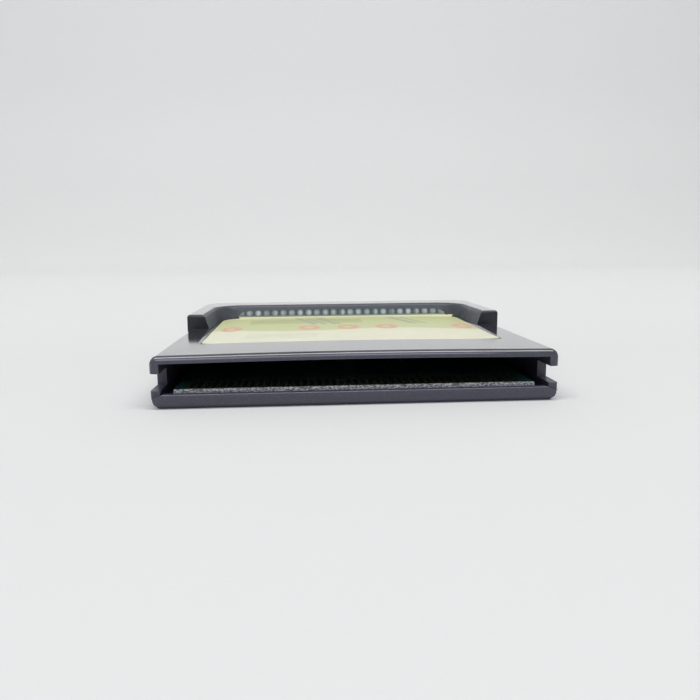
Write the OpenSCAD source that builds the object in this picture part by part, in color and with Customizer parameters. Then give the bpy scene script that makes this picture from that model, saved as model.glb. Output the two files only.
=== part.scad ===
// Game cartridge: two moulded shells round a circuit board, held by one screw.
// X runs across, Y from the open mouth to the far end, Z up from the table.
// The origin lies under the middle of the case.

/* [Case] */
// Width of the case, over the front shell
case_w = 68; // [65:0.5:74]
// Length from the mouth to the far end
case_l = 67; // [65:0.5:74]
// Height of the label deck above the table
deck_z = 8.9; // [8.5:0.1:11]
// How far the raised rim stands above the deck
rim_h = 3.1; // [2:0.1:4]
// Height of the seam between the two shells
seam_z = 2; // [1.9:0.05:2.2]
// Step at the seam, where the back shell stands in from the front shell
seam_step = 0.2; // [0.1:0.05:0.3]
// Thickness of the side walls and the far wall
wall = 1.6; // [1.4:0.1:2]
// Thickness of the deck
deck_t = 1.3; // [1.1:0.1:1.6]
// Thickness of the floor
floor_t = 1.35; // [1.1:0.05:1.5]
// Radius of the far corners, seen from above
far_corner_r = 4.5; // [3:0.5:6]
// Radius of the back shell's corners at the mouth, seen from above
mouth_corner_r = 0.5; // [0.2:0.1:0.8]
// Radius of the deck's side edges
deck_edge_r = 1.4; // [1.2:0.1:1.5]
// Radius of the edge round the front face of the front shell
mouth_edge_r = 1; // [0.5:0.1:1]
// Radius of the rim's outer edges
rim_edge_r = 0.6; // [0.3:0.05:0.9]
// Radius of the rim's inner edge
rim_inner_r = 1.1; // [0.7:0.1:1.3]
// Width of the bevel round the foot of the case
foot_bevel_w = 1; // [0.8:0.1:1.2]
// Height of the bevel round the foot of the case
foot_bevel_h = 1.8; // [1.5:0.1:1.8]
// How far that bevel bulges at its middle
foot_bulge = 0.2; // [0.1:0.05:0.25]

/* [Mouth] */
// Height of the sill below the mouth
sill_z = 2.5; // [2.3:0.05:2.6]
// Thickness of the sill
sill_t = 1.2; // [1:0.1:1.6]
// Width of the slope at each end of the sill
sill_slope_w = 1.8; // [1.5:0.1:2.5]
// Thickness of the sill where it passes in front of the side walls
sill_lap = 0.3; // [0.2:0.05:0.4]
// Height of the foot of the guide notch in each side wall
notch_z = 3.1; // [2.9:0.1:3.6]
// Height of the guide notch
notch_h = 2.9; // [2:0.1:3]
// Depth of the guide notch, measured from the mouth
notch_l = 6; // [4:0.5:9]

/* [Rim and label recess] */
// Width of the rim's bar at the far end, at its foot
bar_w = 9.5; // [8:0.5:12]
// Width of the rim's arms at their foot
arm_w = 4.6; // [4:0.1:6]
// Length of the rim's arms, measured from the bar
arm_l = 21.5; // [16:0.5:28]
// Lean of the rim's inner wall, over its whole height
rim_lean = 1; // [0.5:0.1:1.4]
// Distance from the mouth to the front of the label recess
recess_y = 12.8; // [10:0.1:16]
// Depth of the label recess
recess_d = 0.3; // [0.2:0.05:0.4]
// Radius of the recess corners at the rim
recess_far_r = 5.5; // [4:0.5:7]
// Radius of the recess corners at the front
recess_front_r = 1.5; // [0.5:0.5:3]

/* [Label] */
// Gap that the label leaves on each side, if it is stuck on straight
label_side_gap = 1; // [0.7:0.1:2]
// How far the label was stuck on off centre
label_shift = 0.6; // [-0.6:0.1:0.6]
// Gap between the label and the front of its recess
label_front_gap = 1.1; // [0.5:0.1:2]
// Thickness of the label paper
label_t = 0.15; // [0.1:0.01:0.2]
// How far the ends of the folded tab stop short of the rim's round corners
tab_end_gap = 0.9; // [0.7:0.1:4]
// Height of that tab
tab_h = 1.9; // [1.5:0.1:2]
// Radius of the label corners at the front
label_front_r = 1.2; // [0.5:0.1:2]

/* [Circuit board] */
// Gap between the board and each side wall
board_side_gap = 1.7; // [1:0.1:2.5]
// Gap between the board and the far wall
board_far_gap = 12.9; // [12:0.1:16]
// Thickness of the board
board_t = 1; // [0.8:0.1:1.2]
// Distance from the mouth to the board's front edge
board_y = 2.5; // [1.8:0.1:4]
// Height of the ribs that the board lies on
board_rib_h = 0.5; // [0.4:0.05:0.8]
// Bevel along the board's front edge
board_bevel = 0.3; // [0.15:0.05:0.35]
// Bare board left at each end of the row of contacts
contact_margin = 2.3; // [1.5:0.1:4]
// Spacing of the edge contacts
contact_pitch = 1.27; // [1:0.01:1.3]
// Width of one contact
contact_w = 0.85; // [0.6:0.05:0.95]
// Length of one contact
contact_l = 6; // [4:0.5:7]
// Thickness of the contact plating
contact_t = 0.06; // [0.04:0.01:0.1]

/* [Memory chip] */
// Length of the chip's body, along the case
chip_l = 20.5; // [16:0.5:21]
// Width of the chip's body
chip_w = 11; // [8:0.5:12]
// Height of the chip's body
chip_h = 2.4; // [1.8:0.1:2.6]
// Gap below the chip's body
chip_lift = 0.15; // [0.1:0.05:0.3]
// Distance from the middle of the case to the middle of the chip
chip_x = 13; // [12:0.5:14]
// Distance from the mouth to the middle of the chip
chip_y = 40; // [38:0.5:41]
// Number of leads on each long side
lead_count = 16; // [8:1:16]
// Spacing of the leads
lead_pitch = 1.27; // [0.8:0.01:1.27]
// Width of one lead
lead_w = 0.42; // [0.3:0.01:0.5]
// Thickness of the lead metal
lead_t = 0.2; // [0.12:0.01:0.25]
// How far the leads reach out from the body
lead_reach = 1.6; // [1.2:0.1:2]

/* [Capacitor] */
// Length of the capacitor
cap_l = 3.2; // [2:0.1:4]
// Width of the capacitor
cap_w = 1.6; // [1.2:0.1:2]
// Height of the capacitor
cap_h = 1.1; // [0.6:0.1:1.5]
// Length of its metal ends
cap_end_l = 0.5; // [0.3:0.05:0.8]
// Distance from the middle of the case to the capacitor
cap_x = 13; // [12:0.5:20]
// Distance from the mouth to the capacitor
cap_y = 32; // [30:0.5:36]

/* [Screw] */
// Distance from the mouth to the screw
screw_y = 38; // [35:0.5:42]
// Diameter of the screw's head
head_d = 4.4; // [4:0.1:5]
// Height of the screw's head
head_h = 1.6; // [1.2:0.1:1.8]
// Diameter of the hollows between the head's six lobes
lobe_d = 1.2; // [0.8:0.1:1.4]
// Thickness of the plain disc under the lobes
head_web = 0.5; // [0.3:0.1:0.8]
// Depth of the head below the outside of the back shell
head_sink = 0.9; // [0.6:0.1:1.2]
// Outside diameter of the screw's thread
thread_d = 2.4; // [2:0.1:2.8]
// Pitch of the screw's thread
thread_pitch = 1; // [0.8:0.1:1.2]
// Depth of the thread
thread_depth = 0.3; // [0.2:0.05:0.4]
// Wall of the screw posts
post_wall = 1.6; // [1.2:0.1:2]

/* [Ribs, pins and hooks] */
// Thickness of the ribs
rib_t = 1; // [0.8:0.1:1.2]
// Distance from the board's side edge to the ribs along it
rib_inset = 1.7; // [1.2:0.1:2.2]
// Distance from the mouth to the ribs that hold the board down
hold_y = 28; // [26:0.5:30]
// Length of the ribs that hold the board down
hold_l = 22; // [14:0.5:22]
// Diameter of the pins that locate the board
pin_d = 2.4; // [2:0.1:3]
// Distance from the board's side edge to the pins
pin_inset = 6.7; // [5:0.1:9]
// Distance from the mouth to the pins
pin_y = 42; // [38:0.5:44]
// Height of the pins above the board
pin_h = 1; // [0.6:0.1:1.5]
// Width of the hooks at the far end
hook_w = 6; // [4:0.5:8]
// Distance from the side wall to the hooks
hook_inset = 13.4; // [10:0.1:16]
// Thickness of the tongue along the back shell's side walls
tongue_t = 0.7; // [0.5:0.05:0.8]
// Height of the tongue
tongue_h = 0.9; // [0.6:0.1:1.2]

/* [Fits] */
// Gap between pieces that slip together
slip = 0.1; // [0.05:0.01:0.15]
// Gap round the screw's head
head_gap = 0.4; // [0.2:0.05:0.6]

/* [Hidden] */
$fn = 64;
over = 1;
trace = 0.002;
plastic_colour = "#3c3b44";
back_w = case_w - 2 * seam_step;
back_far = case_l - seam_step;
rim_z = deck_z + rim_h;
ceiling_z = deck_z - deck_t;
room_w = case_w - 2 * wall;
room_back = case_l - wall;
recess_z = deck_z - recess_d;
rim_wall_y = case_l - bar_w;
arm_y = rim_wall_y - arm_l;
recess_half_w = case_w / 2 - arm_w;
label_w = 2 * (recess_half_w - label_side_gap);
tab_w = 2 * (recess_half_w - recess_far_r - tab_end_gap);
board_w = room_w - 2 * board_side_gap;
board_back = room_back - board_far_gap;
board_z = floor_t + board_rib_h;
board_top = board_z + board_t;
contact_count = floor((board_w - 2 * contact_margin - contact_w) / contact_pitch) + 1;
rib_x = board_w / 2 - rib_inset;
pin_x = board_w / 2 - pin_inset;
hook_x = room_w / 2 - hook_inset;
chip_z = board_top + chip_lift;
lead_z = chip_z + chip_h / 2;
well_d = head_d + 2 * head_gap;
seat_z = head_sink + head_h;
post_d = thread_d + 2 * slip + 2 * post_wall;
well_post_d = well_d + 2 * post_wall;
post_z = seat_z + post_wall;
thread_end = ceiling_z + 2 * slip;
tongue_front = notch_l + 2;
tongue_back = case_l - far_corner_r - 2;
core_front = rim_wall_y + rim_lean + wall;

// A square corner outside a circle, which rounds a convex edge
module corner_cut(r) {
    difference() {
        square(r + over);
        circle(r = r);
    }
}

// Upright outline, with its top outer corner rounded
module edge_outline(w, h, r) {
    difference() {
        square([w, h]);
        translate([w - r, h - r]) corner_cut(r);
    }
}

// Plan of the case, with its round far corners
module far_plan(w, back) {
    difference() {
        translate([-w / 2, 0]) square([w, back]);
        for (side = [0, 1]) mirror([side, 0])
            translate([w / 2 - far_corner_r, back - far_corner_r]) corner_cut(far_corner_r);
    }
}

// Stands an outline up across the case, from y0 to y1, on both sides
module along_y(y0, y1) {
    for (side = [0, 1]) mirror([side, 0, 0])
        translate([0, y1, 0]) rotate([90, 0, 0]) linear_extrude(y1 - y0) children();
}

// Stands an outline up along the case and runs it across the width w
module across_x(w) {
    translate([-w / 2, 0, 0]) rotate([90, 0, 90]) linear_extrude(w) children();
}

// Block with round far corners and a soft top edge, from y0 to y1
module soft_block(w, y0, y1, h, corner, edge) {
    along_y(y0, y1 - corner) edge_outline(w / 2, h, edge);
    translate([0, y1 - corner, 0]) across_x(w - 2 * corner) edge_outline(corner, h, edge);
    for (side = [0, 1]) mirror([side, 0, 0])
        translate([w / 2 - corner, y1 - corner, 0]) rotate_extrude(angle = 90) edge_outline(corner, h, edge);
}

// Outline of the space inside the rim: a leaning wall with a soft top edge
module rim_space_outline(foot) {
    slope = rim_lean / rim_h;
    lean = atan(slope);
    reach = rim_inner_r + over;
    // The centre is rounded and a trace nearer, so that the arc crosses the wall and meets it in one clean line
    inset = slope * (rim_h - rim_inner_r) + rim_inner_r / cos(lean) - trace;
    centre = [foot + floor(inset / trace) * trace, rim_h - rim_inner_r];
    polygon([[0, -recess_d], [foot, -recess_d], [foot, 0], [foot + rim_lean, rim_h],
             [foot + rim_lean, rim_h + over], [0, rim_h + over]]);
    translate(centre) difference() {
        polygon([[0, 0], reach * [-cos(lean), sin(lean)], [-reach, reach], [0, reach]]);
        circle(r = rim_inner_r);
    }
}

// Recess for the label, and the space above it inside the raised rim
module rim_space() {
    translate([0, 0, recess_z]) linear_extrude(rim_h)
        label_plan(recess_half_w, recess_y, arm_y - over, recess_front_r, recess_front_r);
    translate([0, 0, deck_z]) {
        along_y(arm_y / 2, rim_wall_y - recess_far_r) rim_space_outline(recess_half_w);
        translate([0, rim_wall_y - recess_far_r, 0])
            across_x(2 * (recess_half_w - recess_far_r)) rim_space_outline(recess_far_r);
        for (side = [0, 1]) mirror([side, 0, 0])
            translate([recess_half_w - recess_far_r, rim_wall_y - recess_far_r, 0])
                rotate_extrude(angle = 90) rim_space_outline(recess_far_r);
    }
}

// Plan with round corners, used by the label and its recess
module label_plan(half_w, front, back, front_r, back_r) {
    difference() {
        translate([-half_w, front]) square([2 * half_w, back - front]);
        for (side = [0, 1]) mirror([side, 0]) {
            translate([half_w - back_r, back - back_r]) corner_cut(back_r);
            translate([half_w - front_r, front + front_r]) mirror([0, 1]) corner_cut(front_r);
        }
    }
}

// Outside of the front shell: the deck with soft edges, and the raised rim
module front_outside() {
    intersection() {
        translate([0, 0, seam_z]) linear_extrude(deck_z - seam_z) far_plan(case_w, case_l);
        translate([0, case_l, 0]) rotate([90, 0, 0])
            soft_block(case_w, 0, deck_z, case_l, deck_edge_r, mouth_edge_r);
    }
    intersection() {
        soft_block(case_w, arm_y - over, case_l, rim_z, far_corner_r, rim_edge_r);
        translate([0, case_l, 0]) mirror([0, 1, 0])
            across_x(case_w + over) edge_outline(case_l - arm_y, rim_z, rim_edge_r);
        translate([-case_w, 0, seam_z]) cube([2 * case_w, case_l, rim_z]);
    }
}

// Hook at the far end: it drops behind the back shell's far wall
module hook() {
    tip_z = floor_t + slip;
    back = room_back - seam_step - slip;
    translate([-hook_w / 2, back - rib_t, tip_z]) cube([hook_w, rib_t, ceiling_z - tip_z]);
    translate([-hook_w / 2, back - rib_t, seam_z + slip])
        cube([hook_w, room_back - back + rib_t + wall / 2, ceiling_z - seam_z - slip]);
}

module front_shell() {
    color(plastic_colour) difference() {
        union() {
            difference() {
                front_outside();
                rim_space();
                // Room for the board and the console's connector
                translate([-room_w / 2, -over, 0]) cube([room_w, room_back + over, ceiling_z]);
                // Core under the bar of the rim
                translate([-recess_half_w, core_front, 0])
                    cube([2 * recess_half_w, room_back - core_front, rim_z - wall]);
            }
            // Ribs inside the bar
            for (x = [-1, 0, 1] * recess_half_w / 2)
                translate([x - rib_t / 2, core_front - over / 2, ceiling_z])
                    cube([rib_t, room_back - core_front + over, rim_z - wall / 2 - ceiling_z]);
            // Ribs that hold the board down
            for (side = [-1, 1])
                translate([side * rib_x - rib_t / 2, hold_y, board_top])
                    cube([rib_t, hold_l, ceiling_z - board_top + deck_t / 2]);
            // Post for the screw
            translate([0, screw_y, post_z]) cylinder(d = post_d, h = ceiling_z - post_z + deck_t / 2);
            for (side = [-1, 1]) translate([side * hook_x, 0, 0]) hook();
        }
        for (side = [0, 1]) mirror([side, 0, 0]) {
            // Guide notch at the mouth
            translate([room_w / 2 - wall, -over, notch_z]) cube([3 * wall, notch_l + over, notch_h]);
            // Room for the ends of the sill
            translate([room_w / 2 - wall, -over, seam_z - over])
                cube([3 * wall, sill_lap + slip + over, notch_z - seam_z + over]);
            // Rebate that takes the tongue of the back shell
            translate([room_w / 2 - wall, tongue_front - slip, seam_z - over])
                cube([wall + tongue_t + slip, tongue_back - tongue_front + 2 * slip, tongue_h + slip + over]);
        }
        // Pilot hole of the screw
        translate([0, screw_y, post_z - over]) cylinder(d = thread_d + 2 * slip, h = thread_end - post_z + over + slip);
    }
}

// Upright outline of the foot: a bulging bevel below, straight above
module foot_outline(w) {
    middle = [w - foot_bevel_w / 2 + foot_bulge, foot_bevel_h / 2 - foot_bulge / 2];
    polygon([[0, 0], [w - foot_bevel_w, 0], middle, [w, foot_bevel_h], [w, seam_z], [0, seam_z]]);
}

// Face of the sill, seen from the mouth: its ends slope down to the seam
module sill_outline() {
    half = back_w / 2;
    polygon([[-half, foot_bevel_h], [half, foot_bevel_h], [half, seam_z], [half - sill_slope_w, sill_z],
             [sill_slope_w - half, sill_z], [-half, seam_z]]);
}

// Outside of the back shell
module back_outside() {
    corner = far_corner_r;
    intersection() {
        union() {
            along_y(-over, back_far - corner) foot_outline(back_w / 2);
            translate([0, back_far - corner, 0]) across_x(back_w - 2 * corner) foot_outline(corner);
            for (side = [0, 1]) mirror([side, 0, 0])
                translate([back_w / 2 - corner, back_far - corner, 0]) rotate_extrude(angle = 90) foot_outline(corner);
        }
        linear_extrude(seam_z) label_plan(back_w / 2, 0, back_far, mouth_corner_r, corner);
        translate([0, back_far, 0]) mirror([0, 1, 0]) across_x(back_w + over) foot_outline(back_far);
    }
}

module back_shell() {
    inner_w = room_w - 2 * slip;
    color(plastic_colour) difference() {
        union() {
            difference() {
                back_outside();
                // Tray for the board
                translate([-room_w / 2, sill_t, floor_t]) cube([room_w, room_back - seam_step - sill_t, seam_z]);
            }
            // Sill below the mouth, thin where it passes in front of the side walls
            intersection() {
                translate([0, sill_t, 0]) rotate([90, 0, 0]) linear_extrude(sill_t) sill_outline();
                union() {
                    translate([-inner_w / 2, 0, 0]) cube([inner_w, sill_t, sill_z]);
                    linear_extrude(sill_z) label_plan(back_w / 2, 0, sill_lap, sill_lap / 2, sill_lap / 4);
                }
            }
            // Ribs that the board lies on
            for (side = [-1, 1])
                translate([side * rib_x - rib_t / 2, board_y + board_bevel, floor_t - over / 2])
                    cube([rib_t, board_back - board_y - 2 * board_bevel, board_rib_h + over / 2]);
            for (y = [board_y + contact_l, board_back - rib_t])
                translate([-rib_x, y, floor_t - over / 2]) cube([2 * rib_x, rib_t, board_rib_h + over / 2]);
            // Pins that locate the board
            for (side = [-1, 1]) translate([side * pin_x, pin_y, floor_t - over / 2])
                cylinder(d = pin_d, h = board_top + pin_h - floor_t + over / 2);
            // Tongues along the side walls
            for (side = [0, 1]) mirror([side, 0, 0])
                translate([room_w / 2, tongue_front, seam_z - over / 2])
                    cube([tongue_t, tongue_back - tongue_front, tongue_h + over / 2]);
            translate([0, screw_y, floor_t / 2]) cylinder(d = well_post_d, h = post_z - floor_t / 2);
        }
        // Well for the screw's head and the hole for its shank
        translate([0, screw_y, -over]) cylinder(d = well_d, h = seat_z + over);
        translate([0, screw_y, 0]) cylinder(d = thread_d + 2 * slip, h = post_z + over);
    }
}

// The label lies in its recess and folds up the rim's wall
module label() {
    slope = rim_lean / rim_h;
    base_y = rim_wall_y - slip;
    color("#e4e5cd") translate([label_shift, 0, 0]) {
        translate([0, 0, recess_z]) linear_extrude(label_t)
            label_plan(label_w / 2, recess_y + label_front_gap, base_y, label_front_r, recess_far_r);
        across_x(tab_w) polygon([
            [base_y - label_t, recess_z],
            [base_y, recess_z],
            [base_y, deck_z],
            [base_y + slope * tab_h, deck_z + tab_h],
            [base_y + slope * tab_h - label_t, deck_z + tab_h],
            [base_y - label_t, deck_z]
        ]);
    }
}

module circuit_board() {
    bevel = board_bevel;
    color("#1f4a40") difference() {
        across_x(board_w) polygon([
            [board_y + bevel, board_z],
            [board_back, board_z],
            [board_back, board_top],
            [board_y + bevel, board_top],
            [board_y, board_top - bevel],
            [board_y, board_z + bevel]
        ]);
        translate([0, screw_y, 0]) cylinder(d = well_post_d + 4 * slip, h = board_top + over);
        for (side = [-1, 1]) translate([side * pin_x, pin_y, 0])
            cylinder(d = pin_d + 2 * slip, h = board_top + over);
    }
}

module edge_contacts() {
    color("#c9a24b") for (i = [0 : contact_count - 1])
        translate([(i - (contact_count - 1) / 2) * contact_pitch - contact_w / 2, board_y + board_bevel, board_top])
            cube([contact_w, contact_l, contact_t]);
}

module memory_chip() {
    color("#26272b") translate([-chip_x, chip_y, chip_z]) difference() {
        translate([-chip_w / 2, -chip_l / 2, 0]) cube([chip_w, chip_l, chip_h]);
        // Dimple that marks the first lead
        translate([-chip_w / 2 + 2 * lead_pitch, -chip_l / 2 + 2 * lead_pitch, chip_h - lead_t])
            cylinder(d = 1.5 * lead_pitch, h = lead_t + over);
    }
}

// One lead: it leaves the body level, steps down and lies on the board
module chip_lead() {
    knee = lead_reach * 0.3;
    foot = lead_reach * 0.45;
    rise = lead_z - board_top;
    translate([chip_w / 2, lead_w / 2, board_top]) rotate([90, 0, 0]) linear_extrude(lead_w) polygon([
        [0, rise - lead_t / 2],
        [knee - lead_t, rise - lead_t / 2],
        [foot - lead_t, 0],
        [lead_reach, 0],
        [lead_reach, lead_t],
        [foot, lead_t],
        [knee, rise + lead_t / 2],
        [0, rise + lead_t / 2]
    ]);
}

module chip_leads() {
    color("silver") for (i = [0 : lead_count - 1], side = [0, 1])
        translate([-chip_x, chip_y + (i - (lead_count - 1) / 2) * lead_pitch, 0]) mirror([side, 0, 0]) chip_lead();
}

module capacitor() {
    color("#8a6f52") translate([cap_x - cap_l / 2 + cap_end_l, cap_y - cap_w / 2, board_top])
        cube([cap_l - 2 * cap_end_l, cap_w, cap_h]);
}

module capacitor_ends() {
    color("silver") for (side = [-1, 1])
        translate([cap_x + side * (cap_l - cap_end_l) / 2 - cap_end_l / 2, cap_y - cap_w / 2, board_top])
            cube([cap_end_l, cap_w, cap_h]);
}

module case_screw() {
    core_r = thread_d / 2 - thread_depth;
    turns = (thread_end - thread_d / 2 - post_z) / thread_pitch;
    color("silver") translate([0, screw_y, 0]) {
        // Six-lobed head
        translate([0, 0, head_sink]) difference() {
            cylinder(d = head_d, h = head_h);
            for (a = [0 : 60 : 300]) rotate(a) translate([head_d / 2 + lobe_d / 5, 0, -over])
                cylinder(d = lobe_d, h = head_h + over - head_web);
        }
        translate([0, 0, seat_z - over / 2]) cylinder(r = core_r, h = thread_end - thread_d / 2 - seat_z + over / 2);
        translate([0, 0, post_z]) linear_extrude(turns * thread_pitch, twist = -360 * turns, slices = 10 * turns)
            translate([thread_depth, 0]) circle(r = core_r, $fn = 14);
        translate([0, 0, thread_end - thread_d / 2]) cylinder(r1 = core_r, r2 = core_r / 3, h = thread_d / 2);
    }
}

module placed() {
    translate([0, -case_l / 2, 0]) children();
}

placed() front_shell();
placed() back_shell();
placed() label();
placed() circuit_board();
placed() edge_contacts();
placed() memory_chip();
placed() chip_leads();
placed() capacitor();
placed() capacitor_ends();
placed() case_screw();
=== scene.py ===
# Game cartridge lying flat, label up, seen low down from its open mouth.
import bpy, math
from mathutils import Matrix, Vector


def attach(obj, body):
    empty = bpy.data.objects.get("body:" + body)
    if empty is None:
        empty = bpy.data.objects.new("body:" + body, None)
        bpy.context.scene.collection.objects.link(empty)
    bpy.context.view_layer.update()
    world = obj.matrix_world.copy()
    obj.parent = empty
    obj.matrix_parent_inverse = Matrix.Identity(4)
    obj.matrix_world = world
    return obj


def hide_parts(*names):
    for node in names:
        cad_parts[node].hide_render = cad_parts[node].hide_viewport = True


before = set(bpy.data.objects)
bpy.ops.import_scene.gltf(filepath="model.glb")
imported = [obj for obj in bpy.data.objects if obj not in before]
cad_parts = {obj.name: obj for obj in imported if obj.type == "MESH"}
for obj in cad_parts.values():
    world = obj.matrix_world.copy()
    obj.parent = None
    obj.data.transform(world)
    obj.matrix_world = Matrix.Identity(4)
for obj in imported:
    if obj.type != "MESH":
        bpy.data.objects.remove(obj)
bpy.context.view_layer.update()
mm = 0.001
halfLength = 33.5     # mm; the drawing measures Y from the mouth, the frame from the middle
mouthY = -halfLength
print("stage: frame loaded")


# an sRGB hex colour as linear values
def hexLinear(code):
    parts = [int(code[i:i + 2], 16) / 255 for i in (1, 3, 5)]
    return tuple(p / 12.92 if p <= 0.04045 else ((p + 0.055) / 1.055) ** 2.4 for p in parts) + (1.0,)


# adds one node: settings are its own fields, inputs are numbers or other nodes' sockets, stops fill its colour ramp
def addNode(tree, kind, settings=None, inputs=None, stops=None):
    node = tree.nodes.new(kind)
    for key, value in (settings or {}).items():
        setattr(node, key, value)
    for key, value in (inputs or {}).items():
        if isinstance(value, bpy.types.NodeSocket):
            tree.links.new(value, node.inputs[key])
        else:
            node.inputs[key].default_value = value
    if stops:
        steps = node.color_ramp.elements
        while len(steps) < len(stops):
            steps.new(0.5)
        for step, (place, colour) in zip(steps, stops):
            step.position = place
            step.color = hexLinear(colour) if isinstance(colour, str) else (colour, colour, colour, 1)
    return node


def newMaterial(name):
    material = bpy.data.materials.new(name)
    material.use_nodes = True
    tree = material.node_tree
    return material, tree, tree.nodes["Principled BSDF"]


# shell plastic

shellSizes = {
    "tone": "#35343d", "paleTone": "#4b4a55",   # the moulded colour and its slow drift
    "deckWave": 9.0,        # mm, slow waves of the moulded deck
    "hairPitch": 0.35,      # mm, hairline scuffs on the polished faces
    "grainPitch": 0.3,      # mm; the real grain is nearer 0.1, drawn coarser so that it shows
    "grainDepth": 0.03,     # mm
    "dustPitch": 2.2,       # mm between specks
    "gloss": (0.1, 0.16),   # roughness of the polished faces, from clean to scuffed
    "scuffPitch": 1.4,      # mm
    "dust": "#6f6e76",
    "satin": (0.3, 0.38),   # roughness of the rim's front ends
    # colour of the rim's front ends, darker than the moulded tone: painted shade
    "satinShadeTone": ("#1d1d23", "#232329"),
    "grainTone": ("#3d3c48", "#4c4b5a"), "grain": (0.32, 0.46),   # colours and roughness of the grained faces
    "ior": 1.54,            # of ABS
    "coat": 1.0, "coatRoughness": 0.07,   # the polished skin
}


# ABS moulded in a polished tool: dark grey with a violet cast and a clear skin that turns pale at a low angle
def polishedAbs():
    s = shellSizes
    material, tree, shader = newMaterial("polishedAbs")
    place = addNode(tree, "ShaderNodeTexCoord").outputs["Object"]
    wave = addNode(tree, "ShaderNodeTexNoise",
                   inputs={"Vector": place, "Scale": 1 / (s["deckWave"] * mm), "Detail": 1.0})
    scuff = addNode(tree, "ShaderNodeTexNoise",
                    inputs={"Vector": place, "Scale": 1 / (s["scuffPitch"] * mm), "Detail": 6.0, "Roughness": 0.7})
    stretched = addNode(tree, "ShaderNodeMapping",
                        inputs={"Vector": place, "Scale": (1.0, 0.06, 1.0), "Rotation": (0, 0, 0.5)})
    hair = addNode(tree, "ShaderNodeTexNoise",
                   inputs={"Vector": stretched.outputs["Vector"], "Scale": 1 / (s["hairPitch"] * mm), "Detail": 2.0})
    cell = addNode(tree, "ShaderNodeTexVoronoi", inputs={"Vector": place, "Scale": 1 / (s["dustPitch"] * mm)})
    speck = addNode(tree, "ShaderNodeValToRGB", inputs={"Fac": cell.outputs["Distance"]},
                    stops=[(0.03, 1.0), (0.055, 0.0)])
    tone = addNode(tree, "ShaderNodeValToRGB", inputs={"Fac": wave.outputs["Fac"]},
                   stops=[(0.3, s["tone"]), (0.7, s["paleTone"])])
    dusted = addNode(tree, "ShaderNodeMixRGB", inputs={
        "Fac": speck.outputs["Color"], "Color1": tone.outputs["Color"], "Color2": hexLinear(s["dust"])})
    gloss = addNode(tree, "ShaderNodeMapRange", inputs={
        "Value": scuff.outputs["Fac"], "From Min": 0.35, "From Max": 0.68,
        "To Min": s["gloss"][0], "To Max": s["gloss"][1]})
    bump = addNode(tree, "ShaderNodeBump",
                   inputs={"Height": hair.outputs["Fac"], "Strength": 0.2, "Distance": 0.004 * mm})
    tree.links.new(dusted.outputs["Color"], shader.inputs["Base Color"])
    tree.links.new(gloss.outputs["Result"], shader.inputs["Roughness"])
    tree.links.new(bump.outputs["Normal"], shader.inputs["Normal"])
    tree.links.new(bump.outputs["Normal"], shader.inputs["Coat Normal"])
    shader.inputs["IOR"].default_value = s["ior"]
    shader.inputs["Coat Weight"].default_value = s["coat"]
    shader.inputs["Coat Roughness"].default_value = s["coatRoughness"]
    return material


# the same ABS where the tool was spark eroded: a fine satin grain that catches light in specks
def grainedAbs():
    s = shellSizes
    material, tree, shader = newMaterial("grainedAbs")
    place = addNode(tree, "ShaderNodeTexCoord").outputs["Object"]
    grain = addNode(tree, "ShaderNodeTexNoise",
                    inputs={"Vector": place, "Scale": 1 / (s["grainPitch"] * mm), "Detail": 3.0})
    patch = addNode(tree, "ShaderNodeTexNoise", inputs={"Vector": place, "Scale": 1 / (4 * mm), "Detail": 2.0})
    tone = addNode(tree, "ShaderNodeValToRGB", inputs={"Fac": grain.outputs["Fac"]},
                   stops=[(0.3, s["grainTone"][0]), (0.72, s["grainTone"][1])])
    gloss = addNode(tree, "ShaderNodeMapRange", inputs={
        "Value": patch.outputs["Fac"], "From Min": 0.3, "From Max": 0.7,
        "To Min": s["grain"][0], "To Max": s["grain"][1]})
    bump = addNode(tree, "ShaderNodeBump", inputs={
        "Height": grain.outputs["Fac"], "Strength": 0.5, "Distance": s["grainDepth"] * mm})
    tree.links.new(tone.outputs["Color"], shader.inputs["Base Color"])
    tree.links.new(gloss.outputs["Result"], shader.inputs["Roughness"])
    tree.links.new(bump.outputs["Normal"], shader.inputs["Normal"])
    shader.inputs["IOR"].default_value = s["ior"]
    return material


# the same ABS on the rim's front ends, where the tool was only stoned: a satin without the clear skin, its colour
# darker than the shell's as painted shade
def shadedSatinAbs():
    s = shellSizes
    material, tree, shader = newMaterial("shadedSatinAbs")
    place = addNode(tree, "ShaderNodeTexCoord").outputs["Object"]
    drift = addNode(tree, "ShaderNodeTexNoise", inputs={"Vector": place, "Scale": 1 / (2.5 * mm), "Detail": 3.0})
    fine = addNode(tree, "ShaderNodeTexNoise", inputs={"Vector": place, "Scale": 1 / (0.2 * mm), "Detail": 2.0})
    tone = addNode(tree, "ShaderNodeValToRGB", inputs={"Fac": drift.outputs["Fac"]},
                   stops=[(0.3, s["satinShadeTone"][0]), (0.7, s["satinShadeTone"][1])])
    gloss = addNode(tree, "ShaderNodeMapRange", inputs={
        "Value": drift.outputs["Fac"], "From Min": 0.3, "From Max": 0.7,
        "To Min": s["satin"][0], "To Max": s["satin"][1]})
    bump = addNode(tree, "ShaderNodeBump",
                   inputs={"Height": fine.outputs["Fac"], "Strength": 0.3, "Distance": 0.006 * mm})
    tree.links.new(tone.outputs["Color"], shader.inputs["Base Color"])
    tree.links.new(gloss.outputs["Result"], shader.inputs["Roughness"])
    tree.links.new(bump.outputs["Normal"], shader.inputs["Normal"])
    shader.inputs["IOR"].default_value = s["ior"]
    return material


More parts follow.
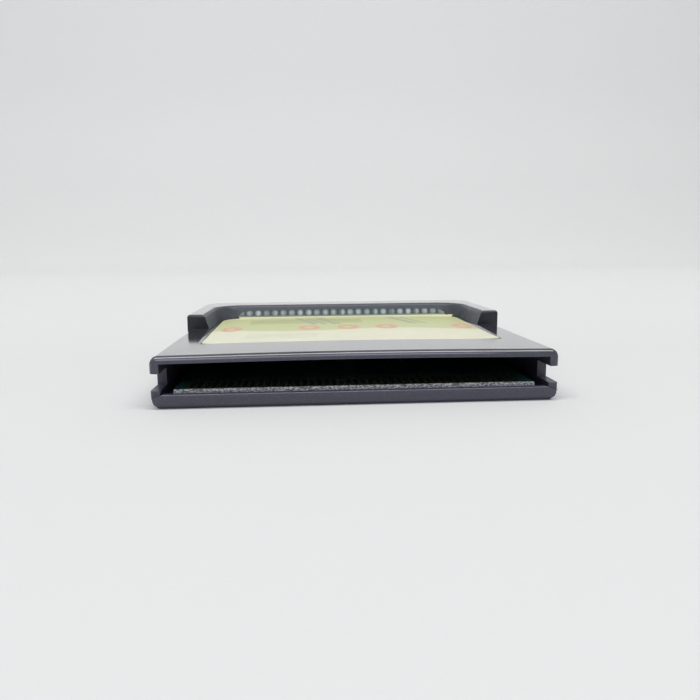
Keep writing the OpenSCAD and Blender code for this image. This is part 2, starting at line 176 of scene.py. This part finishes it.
# a finish from one noise at its own pitch in mm
def quietFinish(name, low, high, pitch, roughness, metallic=0.0, ior=1.5, depth=0.01):
    material, tree, shader = newMaterial(name)
    place = addNode(tree, "ShaderNodeTexCoord").outputs["Object"]
    noise = addNode(tree, "ShaderNodeTexNoise", inputs={"Vector": place, "Scale": 1 / (pitch * mm), "Detail": 4.0})
    tone = addNode(tree, "ShaderNodeValToRGB", inputs={"Fac": noise.outputs["Fac"]}, stops=[(0.3, low), (0.7, high)])
    gloss = addNode(tree, "ShaderNodeMapRange", inputs={
        "Value": noise.outputs["Fac"], "From Min": 0.3, "From Max": 0.7,
        "To Min": roughness * 0.8, "To Max": roughness * 1.2})
    bump = addNode(tree, "ShaderNodeBump",
                   inputs={"Height": noise.outputs["Fac"], "Strength": 0.5, "Distance": depth * mm})
    tree.links.new(tone.outputs["Color"], shader.inputs["Base Color"])
    tree.links.new(gloss.outputs["Result"], shader.inputs["Roughness"])
    tree.links.new(bump.outputs["Normal"], shader.inputs["Normal"])
    shader.inputs["Metallic"].default_value = metallic
    if not metallic:
        shader.inputs["IOR"].default_value = ior
    return material


# sawn edge of glass-fibre board: pale fibre ends in a darker resin, in short slanting bundles
def fibreEdgeFinish():
    material, tree, shader = newMaterial("sawnFibreEdge")
    place = addNode(tree, "ShaderNodeTexCoord").outputs["Object"]
    weave = addNode(tree, "ShaderNodeMapping",
                    inputs={"Vector": place, "Scale": (1.0, 1.0, 2.2), "Rotation": (0, 0.5, 0)})
    bundle = addNode(tree, "ShaderNodeTexNoise",
                     inputs={"Vector": weave.outputs["Vector"], "Scale": 1 / (0.42 * mm), "Detail": 2.0})
    tone = addNode(tree, "ShaderNodeValToRGB", inputs={"Fac": bundle.outputs["Fac"]},
                   stops=[(0.36, "#6b6d6c"), (0.5, "#b9bbbc"), (0.62, "#f0f1f2")])
    bump = addNode(tree, "ShaderNodeBump",
                   inputs={"Height": bundle.outputs["Fac"], "Strength": 0.6, "Distance": 0.05 * mm})
    tree.links.new(tone.outputs["Color"], shader.inputs["Base Color"])
    tree.links.new(bump.outputs["Normal"], shader.inputs["Normal"])
    shader.inputs["Roughness"].default_value = 0.55
    return material


# the label's print: a cream ground, a green field, open spots and slanted bars, all made up for this part

printSizes = {
    "cream": "#e4e3cd", "warmCream": "#dfdec3", "green": "#c7cc97", "deepGreen": "#b6bc86",
    "spot": "#dba78c", "bar": "#a9b193", "rule": "#c9cbb4", "hem": "#e2e0b0",
    "shade": "#3a4642", "mark": "#b4c0c8",
    "middle": 0.6, "front": 13.9,      # mm, where the label lies
    "fieldFrom": 15.5,                 # mm from the label's front to the green field
    # below, mm across from the label's middle and mm along from its front
    "panel": (-9.0, 13.0, 33.0, 4.0),  # middle and reach across, then along
    "spotRow": 21.0, "spotPitch": 8.4, "spotRing": 1.7, "ringWidth": 0.7, "spotReach": 27.0,
    "bars": ((1.5, 0.8), (3.8, 0.5), (6.5, 1.1), (24.0, 0.9), (26.6, 0.5)),   # middle and reach of each
    "barRow": (33.0, 6.5), "barSlant": 0.32,
    "ruleBlock": (-14.0, 7.0, 8.0, 3.2), "rulePitch": 0.9, "ruleWidth": 0.22,
    "hemRow": (43.4, 2.9),
    "dotPitch": 2.1, "dotRow": 10.05,  # the row is in mm above the table
    "dotEdge": (1.05, 0.2), "underline": "#7f8c8c",
    "tabFoot": 9.12, "tabFrom": 42.2,  # mm above the table and from the label's front, where the folded tab begins
}


# coated paper, offset printed: flat inks with a faint tooth, and a soft shine at a low angle
def printedPaper():
    s = printSizes
    material, tree, shader = newMaterial("printedCoatedPaper")
    place = addNode(tree, "ShaderNodeTexCoord").outputs["Object"]
    inMm = addNode(tree, "ShaderNodeVectorMath", {"operation": "SCALE"}, {0: place, "Scale": 1000.0})
    moved = addNode(tree, "ShaderNodeVectorMath", {"operation": "ADD"},
                    {0: inMm.outputs["Vector"], 1: (-s["middle"], halfLength - s["front"], 0)})
    axes = addNode(tree, "ShaderNodeSeparateXYZ", inputs={0: moved.outputs["Vector"]})
    across, along, up = axes.outputs["X"], axes.outputs["Y"], axes.outputs["Z"]

    # a stripe of ink where a place lies within the reach of its middle
    def stripe(value, middle, reach):
        return addNode(tree, "ShaderNodeMath", {"operation": "COMPARE"}, {0: value, 1: middle, 2: reach}).outputs[0]

    # the part that two masks share
    def shared(first, second):
        return addNode(tree, "ShaderNodeMath", {"operation": "MULTIPLY"}, {0: first, 1: second}).outputs[0]

    def block(place):
        return shared(stripe(along, place[2], place[3]), stripe(across, place[0], place[1]))

    # one ink over what lies under it
    def ink(under, mask, colour):
        return addNode(tree, "ShaderNodeMixRGB", inputs={
            "Fac": mask, "Color1": under, "Color2": hexLinear(colour)}).outputs[0]

    tooth = addNode(tree, "ShaderNodeTexNoise", inputs={"Vector": place, "Scale": 1 / (3.5 * mm), "Detail": 3.0})
    colour = addNode(tree, "ShaderNodeValToRGB", inputs={"Fac": tooth.outputs["Fac"]},
                     stops=[(0.3, s["warmCream"]), (0.7, s["cream"])]).outputs["Color"]

    # the green field begins along a slow wave
    turn = addNode(tree, "ShaderNodeMath", {"operation": "MULTIPLY"}, {0: across, 1: 0.16})
    sine = addNode(tree, "ShaderNodeMath", {"operation": "SINE"}, {0: turn.outputs[0]})
    swing = addNode(tree, "ShaderNodeMath", {"operation": "MULTIPLY_ADD"}, {0: sine.outputs[0], 1: -1.6, 2: along})
    field = addNode(tree, "ShaderNodeMapRange", {"interpolation_type": "SMOOTHSTEP"},
                    {"Value": swing.outputs[0], "From Min": s["fieldFrom"], "From Max": s["fieldFrom"] + 3})
    colour = ink(colour, field.outputs["Result"], s["green"])
    colour = ink(colour, block(s["panel"]), s["deepGreen"])

    # a row of open spots, with a wide gap after each third one
    aside = addNode(tree, "ShaderNodeMath", {"operation": "PINGPONG"}, {0: across, 1: s["spotPitch"] / 2})
    ahead = addNode(tree, "ShaderNodeMath", {"operation": "SUBTRACT"}, {0: along, 1: s["spotRow"]})
    squashed = addNode(tree, "ShaderNodeMath", {"operation": "MULTIPLY"}, {0: ahead.outputs[0], 1: 0.62})
    spot = addNode(tree, "ShaderNodeCombineXYZ", inputs={"X": aside.outputs[0], "Y": squashed.outputs[0]})
    away = addNode(tree, "ShaderNodeVectorMath", {"operation": "LENGTH"}, {0: spot.outputs[0]}).outputs["Value"]
    group = addNode(tree, "ShaderNodeMath", {"operation": "PINGPONG"}, {0: across, 1: 2 * s["spotPitch"]})
    inGroup = stripe(group.outputs[0], 0.0, 1.5 * s["spotPitch"])
    ring = shared(stripe(away, s["spotRing"], s["ringWidth"]), shared(inGroup, stripe(across, 0.0, s["spotReach"])))
    colour = ink(colour, ring, s["spot"])

    # slanted bars in two groups
    slant = addNode(tree, "ShaderNodeMath", {"operation": "MULTIPLY_ADD"},
                    {0: along, 1: s["barSlant"], 2: across}).outputs[0]
    barRow = stripe(along, *s["barRow"])
    for middle, reach in s["bars"]:
        colour = ink(colour, shared(stripe(slant, middle, reach), barRow), s["bar"])

    # fine rules near the front, and a pale hem along the far fold
    lines = addNode(tree, "ShaderNodeMath", {"operation": "PINGPONG"}, {0: along, 1: s["rulePitch"]})
    colour = ink(colour, shared(stripe(lines.outputs[0], 0.0, s["ruleWidth"]), block(s["ruleBlock"])), s["rule"])
    colour = ink(colour, stripe(along, *s["hemRow"]), s["hem"])

    # the folded tab: dark, with a row of soft dots over a thin pale line
    beside = addNode(tree, "ShaderNodeMath", {"operation": "PINGPONG"}, {0: across, 1: s["dotPitch"] / 2})
    above = addNode(tree, "ShaderNodeMath", {"operation": "SUBTRACT"}, {0: up, 1: s["dotRow"]})
    dot = addNode(tree, "ShaderNodeCombineXYZ", inputs={"X": beside.outputs[0], "Y": above.outputs[0]})
    fromDot = addNode(tree, "ShaderNodeVectorMath", {"operation": "LENGTH"},
                      {0: dot.outputs[0]}).outputs["Value"]
    soft = addNode(tree, "ShaderNodeMapRange", {"interpolation_type": "SMOOTHSTEP"},
                   {"Value": fromDot, "From Min": s["dotEdge"][0], "From Max": s["dotEdge"][1]})
    worn = addNode(tree, "ShaderNodeTexNoise", {"noise_dimensions": "1D"},
                   {"W": across, "Scale": 0.45, "Detail": 2.0})   # the row is rubbed unevenly
    wear = addNode(tree, "ShaderNodeMapRange",
                   inputs={"Value": worn.outputs[0], "From Min": 0.35, "From Max": 0.62, "To Min": 0.3})
    faded = shared(soft.outputs["Result"], wear.outputs["Result"])
    tabColour = addNode(tree, "ShaderNodeMixRGB", inputs={
        "Fac": faded, "Color1": hexLinear(s["shade"]), "Color2": hexLinear(s["mark"])}).outputs["Color"]
    tabColour = ink(tabColour, stripe(up, s["dotRow"] - 0.75, 0.09), s["underline"])
    raised = addNode(tree, "ShaderNodeMath", {"operation": "GREATER_THAN"}, {0: up, 1: s["tabFoot"]})
    far = addNode(tree, "ShaderNodeMath", {"operation": "GREATER_THAN"}, {0: along, 1: s["tabFrom"]})
    both = addNode(tree, "ShaderNodeMixRGB", inputs={
        "Fac": shared(raised.outputs[0], far.outputs[0]), "Color1": colour, "Color2": tabColour})

    bump = addNode(tree, "ShaderNodeBump",
                   inputs={"Height": tooth.outputs["Fac"], "Strength": 0.25, "Distance": 0.02 * mm})
    tree.links.new(both.outputs["Color"], shader.inputs["Base Color"])
    tree.links.new(bump.outputs["Normal"], shader.inputs["Normal"])
    shader.inputs["Roughness"].default_value = 0.42
    shader.inputs["IOR"].default_value = 1.48
    return material


polished = polishedAbs()
grained = grainedAbs()
satin = shadedSatinAbs()
# the rim wall with painted light, then the board and the small parts, each with what its making gives the eye
rimWallPaintedLit = quietFinish("rimAbsPaintedLit", "#42464f", "#4d525b", 0.9, 0.42, ior=1.54)   # the shell's ABS painted paler and bluish on the rim's inner wall: painted light, on an even rough finish
printed = printedPaper()
fibreEdge = fibreEdgeFinish()
laminate = quietFinish("lacqueredBoard", "#1d3f38", "#26524a", 1.2, 0.42)   # lacquered glass fibre: deep green
gold = quietFinish("platedContacts", "#9c7d3c", "#b8954b", 0.6, 0.3, metallic=1.0, depth=0.002)   # gold plate: warm
epoxy = quietFinish("mouldedEpoxy", "#1c1c1f", "#26262a", 0.15, 0.55)   # filled epoxy: near black, finely pitted
tin = quietFinish("tinnedCopper", "#a9aaab", "#c4c5c6", 0.3, 0.35, metallic=1.0)   # hot tin: pale, with a soft shine
ceramic = quietFinish("firedCeramic", "#7c6048", "#8d7056", 0.3, 0.5)   # fired and unglazed: dull tan
zinc = quietFinish("zincPlatedSteel", "#9a9b9d", "#b7b8ba", 0.2, 0.3, metallic=1.0)   # zinc plate: bright, mottled
print("stage: materials made")


# modelling helpers

def toObject():
    if bpy.context.object and bpy.context.object.mode != "OBJECT":
        bpy.ops.object.mode_set(mode="OBJECT")


def deselectAll():
    toObject()
    bpy.ops.object.select_all(action="DESELECT")


def makeActive(piece):
    deselectAll()
    piece.select_set(True)
    bpy.context.view_layer.objects.active = piece


# selects the points or edges of a piece that a rule accepts, places in mm, and stays in edit mode
def pick(piece, kind, rule):
    makeActive(piece)
    bpy.ops.object.mode_set(mode="EDIT")
    bpy.ops.mesh.select_mode(type={"points": "VERT", "edges": "EDGE"}[kind])
    bpy.ops.mesh.select_all(action="DESELECT")
    bpy.ops.object.mode_set(mode="OBJECT")
    mesh = piece.data
    if kind == "points":
        chosen = [v for v in mesh.vertices if rule(v.co / mm)]
    else:
        chosen = [e for e in mesh.edges if all(rule(mesh.vertices[i].co / mm) for i in e.vertices)]
    for item in chosen:
        item.select = True
    bpy.ops.object.mode_set(mode="EDIT")
    return len(chosen)


# cuts right through a piece at several places along one axis
def cutAt(piece, axis, places):
    makeActive(piece)
    bpy.ops.object.mode_set(mode="EDIT")
    for place in places:
        point, normal = [0, 0, 0], [0, 0, 0]
        point[axis], normal[axis] = place * mm, 1
        bpy.ops.mesh.select_all(action="SELECT")
        bpy.ops.mesh.bisect(plane_co=point, plane_no=normal)
    bpy.ops.object.mode_set(mode="OBJECT")


def applyModifier(piece, kind, **settings):
    makeActive(piece)
    modifier = piece.modifiers.new(kind.lower(), kind)
    for key, value in settings.items():
        setattr(modifier, key, value)
    bpy.ops.object.modifier_apply(modifier=modifier.name)


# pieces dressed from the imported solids

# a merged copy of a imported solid, with its flat faces joined
def mergedCopy(node, name, material):
    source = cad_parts[node]
    piece = source.copy()
    piece.data = source.data.copy()
    piece.name = name
    piece.data.name = name
    bpy.context.scene.collection.objects.link(piece)
    makeActive(piece)
    piece.data.materials.clear()
    piece.data.materials.append(material)
    bpy.ops.object.mode_set(mode="EDIT")
    bpy.ops.mesh.select_all(action="SELECT")
    bpy.ops.mesh.remove_doubles(threshold=0.002 * mm)
    bpy.ops.mesh.dissolve_limited(angle_limit=math.radians(0.4))
    bpy.ops.object.mode_set(mode="OBJECT")
    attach(piece, "root")
    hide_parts(node)
    return piece


# softens the edges as far as the overlap clamp lets it, and keeps the wide faces shaded flat
def softened(piece, radius, segments=3, angle=30):
    applyModifier(piece, "BEVEL", width=radius * mm, segments=segments, limit_method="ANGLE",
                  angle_limit=math.radians(angle), use_clamp_overlap=True)
    makeActive(piece)
    bpy.ops.object.shade_smooth_by_angle(angle=math.radians(34))
    applyModifier(piece, "WEIGHTED_NORMAL", mode="FACE_AREA", weight=80, keep_sharp=True)


# rounds the edges that a rule accepts, on the back shell
def roundEdge(piece, radius, segments, rule):
    pick(piece, "edges", rule)
    bpy.ops.mesh.bevel(offset=radius * mm, segments=segments, affect="EDGES", clamp_overlap=False)
    toObject()


crownSizes = {
    "height": 0.28,         # mm, how far the deck bulges in the middle
    "reach": 30.0,          # mm, where the bulge ends on each side
    "cuts": [-26, -22, -18, -14, -10, -6, -2, 2, 6, 10, 14, 18, 22, 26],
}


def crownAt(x):
    c = crownSizes
    return c["height"] * max(0.0, 1 - (x / c["reach"]) ** 2)


# the deck bulges a little in the middle, as thin mouldings do when they cool, and the mouth's upper edge with it
def crownDeck(piece):
    cutAt(piece, 0, crownSizes["cuts"])
    for place in crownSizes["cuts"]:
        pick(piece, "points", lambda p: abs(p.x - place) < 0.01 and 7.5 < p.z < 9.05 and p.y < 24.3)
        bpy.ops.transform.translate(value=(0, 0, crownAt(place) * mm))
    toObject()


frontSizes = {
    "hollowShare": 0.962,   # how much narrower the label's hollow is at its front corners
    "soft": 0.12,           # mm
    "armEnd": 3.4,          # mm, how far back the satin with painted shade on the rim's front ends reaches
}

frontPiece = mergedCopy("front_shell", "frontShell", polished)
pick(frontPiece, "points", lambda p: -21.5 < p.y < -15 and p.z > 8.5 and 26 < abs(p.x) < 30)
bpy.ops.transform.resize(value=(frontSizes["hollowShare"], 1, 1), center_override=(0, 0, 0))
toObject()
crownDeck(frontPiece)
softened(frontPiece, frontSizes["soft"])
frontPiece.data.materials.append(grained)
frontPiece.data.materials.append(satin)
frontPiece.data.materials.append(rimWallPaintedLit)
# satin with painted shade on the rim's front ends, a paler face with painted light along its inner wall, grain on
# the upright faces outside and at the mouth, polish on the deck and the rounded edges
for face in frontPiece.data.polygons:
    c, n = face.center / mm, face.normal
    if c.y > 2 and c.z > 8.7 and abs(c.x) < 33.5 and n.y < 0.2 and n.z < 0.93:
        face.material_index = 2 if c.y < frontSizes["armEnd"] else 3
    elif abs(n.z) < 0.3 or c.z < 7.55:
        face.material_index = 1
print("stage: front shell dressed")

backSizes = {
    "sillZ": 2.5, "sillRound": 0.18, "footRound": 0.2, "soft": 0.1,   # mm
}

backPiece = mergedCopy("back_shell", "backShell", grained)
onSill = lambda p: p.y < mouthY + 0.01 and p.z > backSizes["sillZ"] - 0.01 and abs(p.x) < 32.01
onFoot = lambda p: p.y < -32.4 and p.z < 0.01 and abs(p.x) < 32.9
roundEdge(backPiece, backSizes["sillRound"], 4, onSill)
roundEdge(backPiece, backSizes["footRound"], 4, onFoot)
softened(backPiece, backSizes["soft"])
backPiece.data.materials.append(polished)
# the sharp edges of the sill and of the ledges are rubbed bright
for face in backPiece.data.polygons:
    c, tilt = face.center / mm, face.normal.z
    if 0.25 < tilt < 0.97 and c.z > 1.9 and (c.y < -32.6 or abs(c.x) > 33):
        face.material_index = 1
print("stage: back shell dressed")

boardSizes = {"soft": 0.05}   # mm

boardPiece = mergedCopy("circuit_board", "circuitBoard", laminate)
softened(boardPiece, boardSizes["soft"], 2)
boardPiece.data.materials.append(fibreEdge)
for face in boardPiece.data.polygons:
    if face.normal.z < 0.9 and face.normal.y < -0.3 and face.center.y < -30 * mm:   # the sawn front edge
        face.material_index = 1
print("stage: board dressed")


# the label: one sheet, crowned with the deck, folded up the rim at the far end

labelSizes = {
    "left": -28.6, "right": 28.8, "front": 13.9, "back": 57.3,
    "frontShare": 0.972, "frontCorner": 2.0, "rightCorner": 1.1, "farCorner": 5.4,
    "under": 8.62, "thick": 0.13,
    "foldFrom": 14.6,       # mm from the mouth, where the right side begins to climb
    "foldTaper": 9.0,       # mm, over what length it climbs
    "foldSteps": [(0.3, 1.006), (0.5, 1.012)],       # mm up, and how far the ring spreads
    "lowEnd": 0.35,         # mm, how much lower the fold is beside the tab's right end
    "cutsAcross": [-26, -22, -18, -14, -10, -6, -2, 2, 6, 10, 14, 18, 22, 23.5, 25, 26, 27, 28, 28.7],
    "cutsAlong": [0.8, 1.6, 2.6, 3.6, 4.8, 6.2, 8, 14, 22, 30, 36],   # mm from the label's front
    "tabLeft": -25.4, "tabRight": 26.9, "tabSteps": [(0.3, 0.1), (0.75, 0.24)],     # mm up and back
    "lift": 0.24, "liftReach": 6.0,         # mm, the right front corner stands off
}


def makeLabel():
    s = labelSizes
    wide, long = s["right"] - s["left"], s["back"] - s["front"]
    deselectAll()
    bpy.ops.mesh.primitive_plane_add(size=1, location=(0, 0, 0))
    sheet = bpy.context.object
    sheet.name = sheet.data.name = "labelSheet"
    bpy.ops.object.mode_set(mode="EDIT")
    bpy.ops.transform.resize(value=(wide * mm, long * mm, 1))
    middle = ((s["left"] + s["right"]) / 2, (s["front"] + s["back"]) / 2 - halfLength, s["under"])
    bpy.ops.transform.translate(value=[v * mm for v in middle])
    frontY, backY = s["front"] - halfLength, s["back"] - halfLength
    # the front edge is a little shorter than the back one
    pick(sheet, "points", lambda p: p.y < middle[1])
    bpy.ops.transform.resize(value=(s["frontShare"], 1, 1))
    for side, corner in ((-1, "frontCorner"), (1, "rightCorner")):
        pick(sheet, "points", lambda p: p.y < middle[1] and p.x * side > 0 and abs(p.x) > 27.5)
        bpy.ops.mesh.bevel(offset=s[corner] * mm, segments=8, affect="VERTICES")
    pick(sheet, "points", lambda p: p.y > backY - 0.01)
    bpy.ops.mesh.bevel(offset=s["farCorner"] * mm, segments=14, affect="VERTICES")
    toObject()
    cutAt(sheet, 0, s["cutsAcross"])
    cutAt(sheet, 1, [frontY + step for step in s["cutsAlong"]])

    # the right side, the far right corner and the far hem turn up in two steps
    arc = (s["right"] - s["farCorner"], backY - s["farCorner"])
    onSide = lambda p: p.x > s["right"] - 0.01 and p.y > s["foldFrom"] - halfLength
    onArc = lambda p: (p.x > arc[0] and p.y > arc[1]
                       and math.hypot(p.x - arc[0], p.y - arc[1]) > s["farCorner"] - 0.04)
    onHem = lambda p: p.y > backY - 1.15 and s["tabLeft"] < p.x < s["tabRight"]
    pick(sheet, "edges", lambda p: onSide(p) or onArc(p) or onHem(p))
    for rise, spread in s["foldSteps"]:
        bpy.ops.mesh.extrude_region_move(TRANSFORM_OT_translate={"value": (0, 0, rise * mm)})
        bpy.ops.transform.resize(value=(spread, spread, 1), center_override=[v * mm for v in middle])
    # the tab stands higher, behind the hem
    ledge = s["under"] + sum(rise for rise, spread in s["foldSteps"])
    onLedge = lambda p: p.z > ledge - 0.05 and p.y > backY - 1.1 and s["tabLeft"] < p.x < s["tabRight"]
    pick(sheet, "edges", onLedge)
    for rise, back in s["tabSteps"]:
        bpy.ops.mesh.extrude_region_move(TRANSFORM_OT_translate={"value": (0, back * mm, rise * mm)})
    top = ledge + sum(rise for rise, back in s["tabSteps"])
    toObject()
    # its ends run out low
    for reach, drop in ((0.8, 0.5), (1.8, 0.25)):
        nearEnd = lambda p: p.x < s["tabLeft"] + reach or p.x > s["tabRight"] - reach
        pick(sheet, "points", lambda p: p.z > top - 0.7 and nearEnd(p))
        bpy.ops.transform.translate(value=(0, -drop * 0.3 * mm, -drop * mm))
        toObject()

    # and the fold beside them is low
    pick(sheet, "points", lambda p: p.z > s["under"] + 0.35 and p.x > s["tabRight"] - 0.4 and p.y > backY - 6)
    bpy.ops.transform.translate(value=(0, 0, -s["lowEnd"] * mm))
    toObject()

    # the fold rises slowly from its front end
    start = s["foldFrom"] - halfLength
    rows = {round(v.co.y / mm, 2) for v in sheet.data.vertices if v.co.y / mm < start + s["foldTaper"]}
    for row in sorted(rows):
        keep = max(0.0, (row - start) / s["foldTaper"])
        folded = lambda p: p.z > s["under"] + 0.1 and abs(p.y - row) < 0.006
        if pick(sheet, "points", folded):
            bpy.ops.transform.resize(value=(1, 1, 0.1 + 0.9 * keep ** 0.7),
                                     center_override=[v * mm for v in middle])
        toObject()

    # the crown, column by column
    places = sorted({round(v.co.x / mm, 2) for v in sheet.data.vertices})
    for place in places:
        rise = crownAt(place)
        if rise > 0.004 and pick(sheet, "points", lambda p: abs(p.x - place) < 0.006):
            bpy.ops.transform.translate(value=(0, 0, rise * mm))
        toObject()
    # the lifted corner, by distance from it
    corner = Vector((s["right"], frontY))
    points = {(round(v.co.x / mm, 2), round(v.co.y / mm, 2)) for v in sheet.data.vertices}
    for column, row in sorted(points):
        near = 1 - (Vector((column, row)) - corner).length / s["liftReach"]
        here = lambda p: abs(p.x - column) < 0.006 and abs(p.y - row) < 0.006
        if near > 0.03 and pick(sheet, "points", here):
            bpy.ops.transform.translate(value=(0, 0, s["lift"] * near ** 1.6 * mm))
        toObject()
    applyModifier(sheet, "SOLIDIFY", thickness=s["thick"] * mm, offset=1.0)
    makeActive(sheet)
    bpy.ops.object.shade_smooth_by_angle(angle=math.radians(40))
    sheet.data.materials.append(printed)
    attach(sheet, "root")
    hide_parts("label")


makeLabel()
print("stage: label made")

nodeFinishes = {
    "edge_contacts": gold, "memory_chip": epoxy, "chip_leads": tin,
    "capacitor": ceramic, "capacitor_ends": tin, "case_screw": zinc,
}
for node, material in nodeFinishes.items():
    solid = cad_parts[node]
    solid.data.materials.clear()
    solid.data.materials.append(material)
print("stage: small parts finished")


# table, backdrop, lamps and camera

stageSizes = {
    "front": -0.9, "back": 0.7, "bend": 0.32, "wallTop": 0.95, "halfWidth": 1.6,   # metres
    "bendSteps": 28,
    # how pale the paper is, by distance behind the object in metres
    "paper": [(0.02, 0.735), (0.1, 0.765), (0.27, 0.81), (0.5, 0.865),
              (0.786, 0.885), (0.878, 0.86), (0.957, 0.855), (1.0, 0.875)],
}


# a sheet of pale paper that runs up behind the table
def makeSweep():
    s = stageSizes
    deselectAll()
    bpy.ops.mesh.primitive_plane_add(size=1, location=(0, 0, 0))
    sheet = bpy.context.object
    sheet.name = sheet.data.name = "paperSweep"
    bpy.ops.object.mode_set(mode="EDIT")
    bpy.ops.transform.resize(value=(2 * s["halfWidth"], s["back"] - s["front"], 1))
    bpy.ops.transform.translate(value=(0, (s["back"] + s["front"]) / 2, 0))
    pick(sheet, "edges", lambda p: p.y > s["back"] / mm - 1)
    steps = s["bendSteps"]
    for i in range(steps):
        a, b = math.pi / 2 * i / steps, math.pi / 2 * (i + 1) / steps
        bpy.ops.mesh.extrude_region_move(TRANSFORM_OT_translate={
            "value": (0, s["bend"] * (math.sin(b) - math.sin(a)), s["bend"] * (math.cos(a) - math.cos(b)))})
    bpy.ops.mesh.extrude_region_move(TRANSFORM_OT_translate={"value": (0, 0, s["wallTop"] - s["bend"])})
    bpy.ops.object.mode_set(mode="OBJECT")
    bpy.ops.object.shade_smooth()
    # rolled paper, paler towards the back, where less light reaches it
    material, tree, shader = newMaterial("backdropPaper")
    place = addNode(tree, "ShaderNodeTexCoord").outputs["Object"]
    distance = addNode(tree, "ShaderNodeSeparateXYZ", inputs={0: place}).outputs["Y"]
    tone = addNode(tree, "ShaderNodeValToRGB", inputs={"Fac": distance}, stops=s["paper"])
    tree.links.new(tone.outputs["Color"], shader.inputs["Base Color"])
    shader.inputs["Roughness"].default_value = 0.9
    sheet.data.materials.append(material)


makeSweep()

lampSizes = {
    "top": {"wide": 2.4, "deep": 0.5, "place": (0.0, -0.35, 1.5), "power": 20.0, "tint": "#fffffc"},
    "front": {"wide": 1.1, "deep": 0.7, "place": (-0.1, -1.15, 0.75), "power": 4.6, "tint": "#e3eeff"},
    "sky": [(0.0, 0.34), (0.3, 0.34), (0.7, 0.36), (1.0, 0.36)],
    "darkRoom": 0.1,        # the low part of the sky behind the camera
}


def makeLamps():
    for name in ("top", "front"):
        s = lampSizes[name]
        light = bpy.data.lights.new(name + "Softbox", "AREA")
        light.shape = "RECTANGLE"
        light.size, light.size_y = s["wide"], s["deep"]
        light.energy = s["power"]
        light.color = hexLinear(s["tint"])[:3]
        lamp = bpy.data.objects.new(name + "Softbox", light)
        lamp.location = s["place"]
        lamp.rotation_euler = (-Vector(s["place"])).to_track_quat("-Z", "Y").to_euler()
        bpy.context.scene.collection.objects.link(lamp)
    world = bpy.context.scene.world or bpy.data.worlds.new("studio")
    bpy.context.scene.world = world
    world.use_nodes = True
    tree = world.node_tree
    way = addNode(tree, "ShaderNodeTexCoord").outputs["Generated"]
    axes = addNode(tree, "ShaderNodeSeparateXYZ", inputs={0: way})
    fade = addNode(tree, "ShaderNodeValToRGB", inputs={"Fac": axes.outputs["Z"]}, stops=lampSizes["sky"])
    behind = addNode(tree, "ShaderNodeMapRange", inputs={
        "Value": axes.outputs["Y"], "From Min": -0.3, "From Max": -0.8, "To Min": 0.0, "To Max": 1.0})
    low = addNode(tree, "ShaderNodeMapRange", inputs={
        "Value": axes.outputs["Z"], "From Min": 0.2, "From Max": 0.4, "To Min": 1.0, "To Max": 0.0})
    room = addNode(tree, "ShaderNodeMath", {"operation": "MULTIPLY"}, {0: behind.outputs[0], 1: low.outputs[0]})
    dark = lampSizes["darkRoom"]
    sky = addNode(tree, "ShaderNodeMixRGB", inputs={
        "Fac": room.outputs[0], "Color1": fade.outputs["Color"], "Color2": (dark, dark, dark * 1.1, 1)})
    tree.links.new(sky.outputs["Color"], tree.nodes["Background"].inputs["Color"])
    tree.nodes["Background"].inputs["Strength"].default_value = 1.0


makeLamps()

cameraSizes = {
    "place": (-8.36, -137.47, 25.76),   # mm, from the middle of the footprint
    "turn": 3.853, "tip": 8.934, "roll": -0.472,   # degrees: to the right, down, and about the view axis
    "lens": 33.1,           # mm, on a 36 mm frame
}


def makeCamera():
    c = cameraSizes
    camera = bpy.data.objects.new("camera", bpy.data.cameras.new("camera"))
    camera.data.lens = c["lens"]
    camera.data.sensor_width = 36
    camera.data.clip_start = 0.005
    camera.data.clip_end = 20
    turn = Matrix.Rotation(math.radians(-c["turn"]), 4, "Z")
    tip = Matrix.Rotation(math.radians(90 - c["tip"]), 4, "X")
    roll = Matrix.Rotation(math.radians(c["roll"]), 4, "Z")
    camera.matrix_world = Matrix.Translation(Vector(c["place"]) * mm) @ turn @ tip @ roll
    bpy.context.scene.collection.objects.link(camera)
    bpy.context.scene.camera = camera


makeCamera()
bpy.context.scene.view_settings.view_transform = "Standard"
print("stage: table, lamps and camera set")
